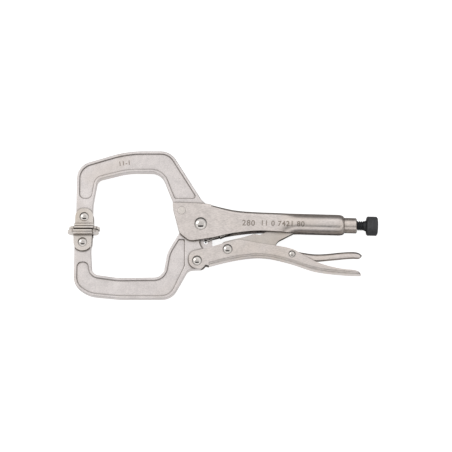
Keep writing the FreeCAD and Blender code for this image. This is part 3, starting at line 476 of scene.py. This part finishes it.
def dome_profile(head, dome, under):
    """Half of a rivet's head profile above the shank: a thin rim, and a dome that rises inside
    it.
    """
    rim = dome * RIM_SHARE
    rise = dome - rim
    foot = head * FOOT_SHARE
    sphere = (foot * foot + rise * rise) / (2 * rise)
    half_angle = math.degrees(math.asin(min(foot / sphere, 1)))
    centre = under + dome - sphere
    points = [
        (under, head * 0.985),
        (under + rim * 0.35, head),
        (under + rim * 0.8, head * 0.995),
    ]
    return points + arc_points(centre, sphere, half_angle, 1.5, DOME_STEPS)


def both_ways(half, middle=()):
    """A whole profile from the half above the middle, with any points between the halves."""
    return [(-along, radius) for along, radius in reversed(half)] + list(middle) + half


for name, dome_mm, shank_mm, body in RIVETS:
    low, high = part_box(name)
    middle = (low + high) / 2
    head = (high.x - low.x) / 2
    dome = dome_mm * MM
    under = (high.z - low.z) / 2 - dome
    half = [(under, shank_mm * MM)] + dome_profile(head, dome, under)
    profile = both_ways(half)
    piece = lathe(
        name + "_head", middle, (0, 0, 1), profile, RIVET_SIDES, bright_nickel, body
    )
    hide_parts(name)

low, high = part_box("jaw_fixing_rivet")
middle = (low + high) / 2
plug_radius = (high.x - low.x) / 2
plug_half = (high.z - low.z) / 2
rounding = [(0.35, 1.0), (0.20, 0.985), (0.07, 0.95), (0.02, 0.90), (0.0, 0.80), (0.0, 0.01)]
half = [(plug_half - below * MM, plug_radius * share) for below, share in rounding]
profile = both_ways(half, [(0.0, plug_radius)])
plug = lathe(
    "fixing_rivet_face", middle, (0, 0, 1), profile, RIVET_SIDES, plug_nickel, "upper_body"
)
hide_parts("jaw_fixing_rivet")

# ---------------------------------------------------------------- knob and screw

# The screw's axis, from the joint that it slides along
screw_axis = Vector(joints["screw_travel"]["axis"]).normalized()
knob_low, knob_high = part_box("screw_head")
knob_middle = (knob_low + knob_high) / 2
tilt = abs(screw_axis.y)
KNOB_CHAMFER = 1.1 * MM
# The box's height is the knob's diameter, and its length is the tilted knob's
knob_radius = (knob_high.z - knob_low.z) / 2
knob_half = ((knob_high.x - knob_low.x) - 2 * tilt * (knob_radius - KNOB_CHAMFER)) / 2

KNURL_TEETH = 40
POINTS_PER_TOOTH = 8
KNURL_DEPTH = 0.34 * MM
KNURL_FADE = 0.6 * MM
KNOB_ROWS = 56
DISH_DEPTH = 0.25 * MM
KNURL_PITCH = 2 * math.pi * knob_radius / KNURL_TEETH


def knurl(along, radius, angle):
    """Diamond knurling: two crossing sets of V grooves, fading out at the chamfers."""
    if radius < knob_radius - TOLERANCE:
        return radius
    turn = angle / (2 * math.pi) * KNURL_TEETH
    row = along / KNURL_PITCH
    first = abs((turn + row) % 1 - 0.5) * 2
    second = abs((turn - row) % 1 - 0.5) * 2
    groove = min(1 - first, 1 - second)
    edge = min(1.0, (knob_half - KNOB_CHAMFER - abs(along)) / KNURL_FADE)
    return radius - KNURL_DEPTH * max(edge, 0.0) * (1 - min(groove * 2.2, 1.0))


def knob_profile():
    """The knob from its screw side to its end, which is slightly dished."""
    barrel = knob_half - KNOB_CHAMFER
    shoulder = (barrel + 0.15 * MM, knob_radius - 0.12 * MM)
    points = [
        (-knob_half, knob_radius * 0.35),
        (-knob_half, knob_radius - KNOB_CHAMFER * 1.15),
        (-knob_half + 0.12 * MM, knob_radius - KNOB_CHAMFER * 0.9),
        (-shoulder[0], shoulder[1]),
    ]
    points += [
        (-barrel + 2 * barrel * i / KNOB_ROWS, knob_radius) for i in range(KNOB_ROWS + 1)
    ]
    points += [
        shoulder,
        (knob_half - 0.15 * MM, knob_radius - KNOB_CHAMFER * 1.1),
        (knob_half, knob_radius - KNOB_CHAMFER * 1.45),
        (knob_half, knob_radius * 0.62),
        (knob_half - DISH_DEPTH, knob_radius * 0.58),
        (knob_half - DISH_DEPTH, knob_radius * 0.02),
    ]
    return points


knob = lathe(
    "knurled_knob",
    knob_middle,
    screw_axis,
    knob_profile(),
    KNURL_TEETH * POINTS_PER_TOOTH,
    knob_black,
    "knob_body",
    knurl,
)
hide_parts("screw_head")

# Adjusting screw: nose, rolled thread, collar, and a plain pin that runs inside the knob
PITCH = 1.75 * MM
THREAD_DEPTH = 0.95 * MM
COLLAR_LENGTH = 1.2 * MM
COLLAR_RADIUS = 4.9 * MM
COLLAR_GAP = 0.6 * MM
THREAD_RADIUS = 4.45 * MM
PIN_RADIUS = 3.0 * MM
PIN_LENGTH = 7.0 * MM
NOSE_LENGTH = 4.0 * MM
TIP_RADIUS = 0.1 * MM
STEPS_PER_PITCH = 10
SCREW_SIDES = 64
low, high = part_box("adjusting_screw")
collar_end = knob_middle - screw_axis * knob_half
screw_length = (collar_end.x - low.x) / screw_axis.x
screw_start = collar_end - screw_axis * screw_length
thread_end = screw_length - COLLAR_LENGTH - COLLAR_GAP


def thread(along, radius, angle):
    """A V thread with rounded crests, running out at both ends."""
    if abs(radius - THREAD_RADIUS) > TOLERANCE:
        return radius
    phase = (along / PITCH - angle / (2 * math.pi)) % 1
    flank = abs(phase - 0.5) * 2
    depth = THREAD_DEPTH * min(max(flank * 1.25 - 0.12, 0.0), 1.0)
    run_in = min(max((along - NOSE_LENGTH) / PITCH, 0.0), 1.0)
    run_out = min(max((thread_end - along) / (0.6 * PITCH), 0.0), 1.0)
    return radius - depth * run_in * run_out


collar_start = screw_length - COLLAR_LENGTH
collar_face = screw_length - 0.05 * MM
steps = int((thread_end - NOSE_LENGTH) / (PITCH / STEPS_PER_PITCH))
profile = [
    (0.0, TIP_RADIUS),
    (0.0, THREAD_RADIUS - 1.9 * MM),
    (0.35 * MM, THREAD_RADIUS - 1.2 * MM),
    (1.6 * MM, THREAD_RADIUS - 0.25 * MM),
    (2.4 * MM, THREAD_RADIUS - 0.02 * MM),
]
profile += [
    (NOSE_LENGTH + (thread_end - NOSE_LENGTH) * i / steps, THREAD_RADIUS)
    for i in range(steps + 1)
]
profile += [
    (collar_start, THREAD_RADIUS - 0.01 * MM),
    (collar_start, COLLAR_RADIUS - 0.3 * MM),
    (collar_start + 0.3 * MM, COLLAR_RADIUS),
    (collar_face, COLLAR_RADIUS),
    (collar_face, PIN_RADIUS),
    (screw_length + PIN_LENGTH, PIN_RADIUS),
    (screw_length + PIN_LENGTH, TIP_RADIUS),
]
screw = lathe(
    "threaded_screw",
    screw_start,
    screw_axis,
    profile,
    SCREW_SIDES,
    thread_black,
    "screw_body",
    thread,
)
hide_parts("adjusting_screw")

# ---------------------------------------------------------------- return spring

low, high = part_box("main_pivot_rivet")
pivot = (low + high) / 2


def at(x, y, z=0.0):
    """A point given from the main pivot, in mm."""
    return pivot + Vector((x, y, z)) * MM


def sweep_tube(name, path, radius, sides, material):
    """A round wire along a list of points, narrower at its two cut ends."""
    points = []
    count = len(path)
    normal = None
    for i, centre in enumerate(path):
        ahead = path[min(i + 1, count - 1)] - path[max(i - 1, 0)]
        tangent = ahead.normalized()
        if normal is None:
            normal = tangent.orthogonal().normalized()
        normal = (normal - tangent * normal.dot(tangent)).normalized()
        other = tangent.cross(normal)
        r = radius * (0.6 if i in (0, count - 1) else 1.0)
        for k in range(sides):
            angle = 2 * math.pi * k / sides
            points.append(centre + (normal * math.cos(angle) + other * math.sin(angle)) * r)
    return make_piece(name, points, rings_to_faces(count, sides), material, None)


# In mm from the main pivot: the holes that the spring hooks into, and its coil
WIRE_RADIUS = 0.6
COIL_RADIUS = 2.35
COIL_START = 12.9
COIL_LENGTH = 29.0
TURNS = 23
POINTS_PER_TURN = 20
WIRE_SIDES = 10
LUG_HALF = 2.0
TAB_HALF = 1.0
lug = Vector((4.5, -16.0, 0))
tab_hole = Vector((50.0, 4.6, 0))
spring_line = (tab_hole - lug).normalized()
coil_from = lug + spring_line * COIL_START
coil_to = coil_from + spring_line * COIL_LENGTH
run = coil_to - coil_from
across_spring = Vector((-spring_line.y, spring_line.x, 0))
upward = Vector((0, 0, 1))


def on_line(start, ahead, above):
    """A point ahead of start along the spring's line, and above the middle plane."""
    return start + spring_line * ahead + upward * above


# Hook through the lug's hole: across the lug, round its edge and along to the coil
beside_lug = LUG_HALF + WIRE_RADIUS + 0.15
spring_path = [
    on_line(lug, 0.0, -beside_lug * 0.95),
    on_line(lug, 0.0, -beside_lug * 0.4),
    on_line(lug, 0.0, beside_lug * 0.5),
    on_line(lug, 0.35, beside_lug * 0.85),
    on_line(lug, 1.2, beside_lug * 1.05),
]
shank_start = on_line(lug, 0.0, beside_lug * 1.05)
shank_end = coil_from + upward * COIL_RADIUS
spring_path += [shank_start.lerp(shank_end, share) for share in (0.3, 0.5, 0.7, 0.86)]
coil_points = TURNS * POINTS_PER_TURN
for i in range(coil_points + 1):
    share = i / coil_points
    angle = 2 * math.pi * share * TURNS
    outward = upward * math.cos(angle) + across_spring * math.sin(angle)
    spring_path.append(coil_from + run * share + outward * COIL_RADIUS)
# Hook through the tab's hole, bent down behind the tab
behind_tab = (tab_hole - coil_to).length + TAB_HALF + WIRE_RADIUS + 0.25
spring_path += [
    on_line(coil_to, 1.4, COIL_RADIUS * 0.8),
    on_line(coil_to, 2.6, 0.8),
    on_line(coil_to, 3.8, 0.0),
    on_line(coil_to, behind_tab - 0.8, 0.0),
    on_line(coil_to, behind_tab - 0.15, -0.45),
    on_line(coil_to, behind_tab, -1.2),
    on_line(coil_to, behind_tab - 0.1, -2.6),
]
spring_path = [pivot + p * MM for p in spring_path]
spring = sweep_tube("coil_spring", spring_path, WIRE_RADIUS * MM, WIRE_SIDES, spring_steel)
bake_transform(spring)
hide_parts("return_spring")

# ---------------------------------------------------------------- stamped numbers


STAMP_LIFT = 0.10 * MM
STAMP_ROOT = 0.15 * MM
STAMP_DEPTH = 0.5 * MM
STAMP_WEIGHT = 0.06 * MM
LONGEST_EDGE = 0.8 * MM
ABOVE_ALL = 0.05  # in metres, higher than every surface


def node_tree_of(name):
    """A CAD node's surface, for casting rays onto."""
    work = bmesh.new()
    work.from_mesh(nodes[name].data)
    tree = BVHTree.FromBMesh(work)
    work.free()
    return tree


def stamp(name, text, node, x, y, height, turn):
    """Numbers pressed up out of a node's surface: they follow the metal below them.

    x, y and height are in mm from the main pivot, and turn is in degrees.
    """
    font = bpy.data.curves.new(name, "FONT")
    font.body = text
    font.size = height * MM
    font.extrude = STAMP_DEPTH
    font.space_character = 1.12
    font.offset = STAMP_WEIGHT
    holder = bpy.data.objects.new(name + "_text", font)
    bpy.context.scene.collection.objects.link(holder)
    shaped = holder.evaluated_get(bpy.context.evaluated_depsgraph_get())
    mesh = bpy.data.meshes.new_from_object(shaped)
    bpy.data.objects.remove(holder)
    work = bmesh.new()
    work.from_mesh(mesh)
    bmesh.ops.remove_doubles(work, verts=work.verts, dist=1e-7)
    bmesh.ops.triangulate(work, faces=work.faces)
    long_edges = [e for e in work.edges if e.calc_length() > LONGEST_EDGE]
    bmesh.ops.subdivide_edges(work, edges=long_edges, cuts=1)
    bmesh.ops.triangulate(work, faces=work.faces)
    tree = node_tree_of(node)
    cos_turn, sin_turn = math.cos(math.radians(turn)), math.sin(math.radians(turn))
    start = at(x, y)
    for vertex in work.verts:
        lift = STAMP_LIFT if vertex.co.z > 0 else -STAMP_ROOT
        px = start.x + vertex.co.x * cos_turn - vertex.co.y * sin_turn
        py = start.y + vertex.co.x * sin_turn + vertex.co.y * cos_turn
        hit = tree.ray_cast(Vector((px, py, ABOVE_ALL)), Vector((0, 0, -1)))[0]
        vertex.co = Vector((px, py, (hit.z if hit else start.z) + lift))
    bmesh.ops.recalc_face_normals(work, faces=work.faces)
    work.to_mesh(mesh)
    work.free()
    mesh.materials.clear()
    mesh.materials.append(stamp_nickel)
    piece = bpy.data.objects.new(name, mesh)
    bpy.context.scene.collection.objects.link(piece)
    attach(piece, "upper_body")
    return piece


# Stamps: name, text, node, x, y, height, turn and slot
STAMPS = [
    ("size_stamp", "280", "upper_handle", 37.0, -1.6, 7.2, -2.5, "plated_sheet"),
    ("code_stamp", "11 0 7421 80", "upper_handle", 53.5, -1.6, 6.6, -2.2, "plated_sheet"),
    ("jaw_stamp", "11-1", "fixed_jaw", -74.5, 54.0, 5.6, 6.5, "plated_forging"),
]
for name, text, node, x, y, height, turn, slot in STAMPS:
    stamp(name, text, node, x, y, height, turn)
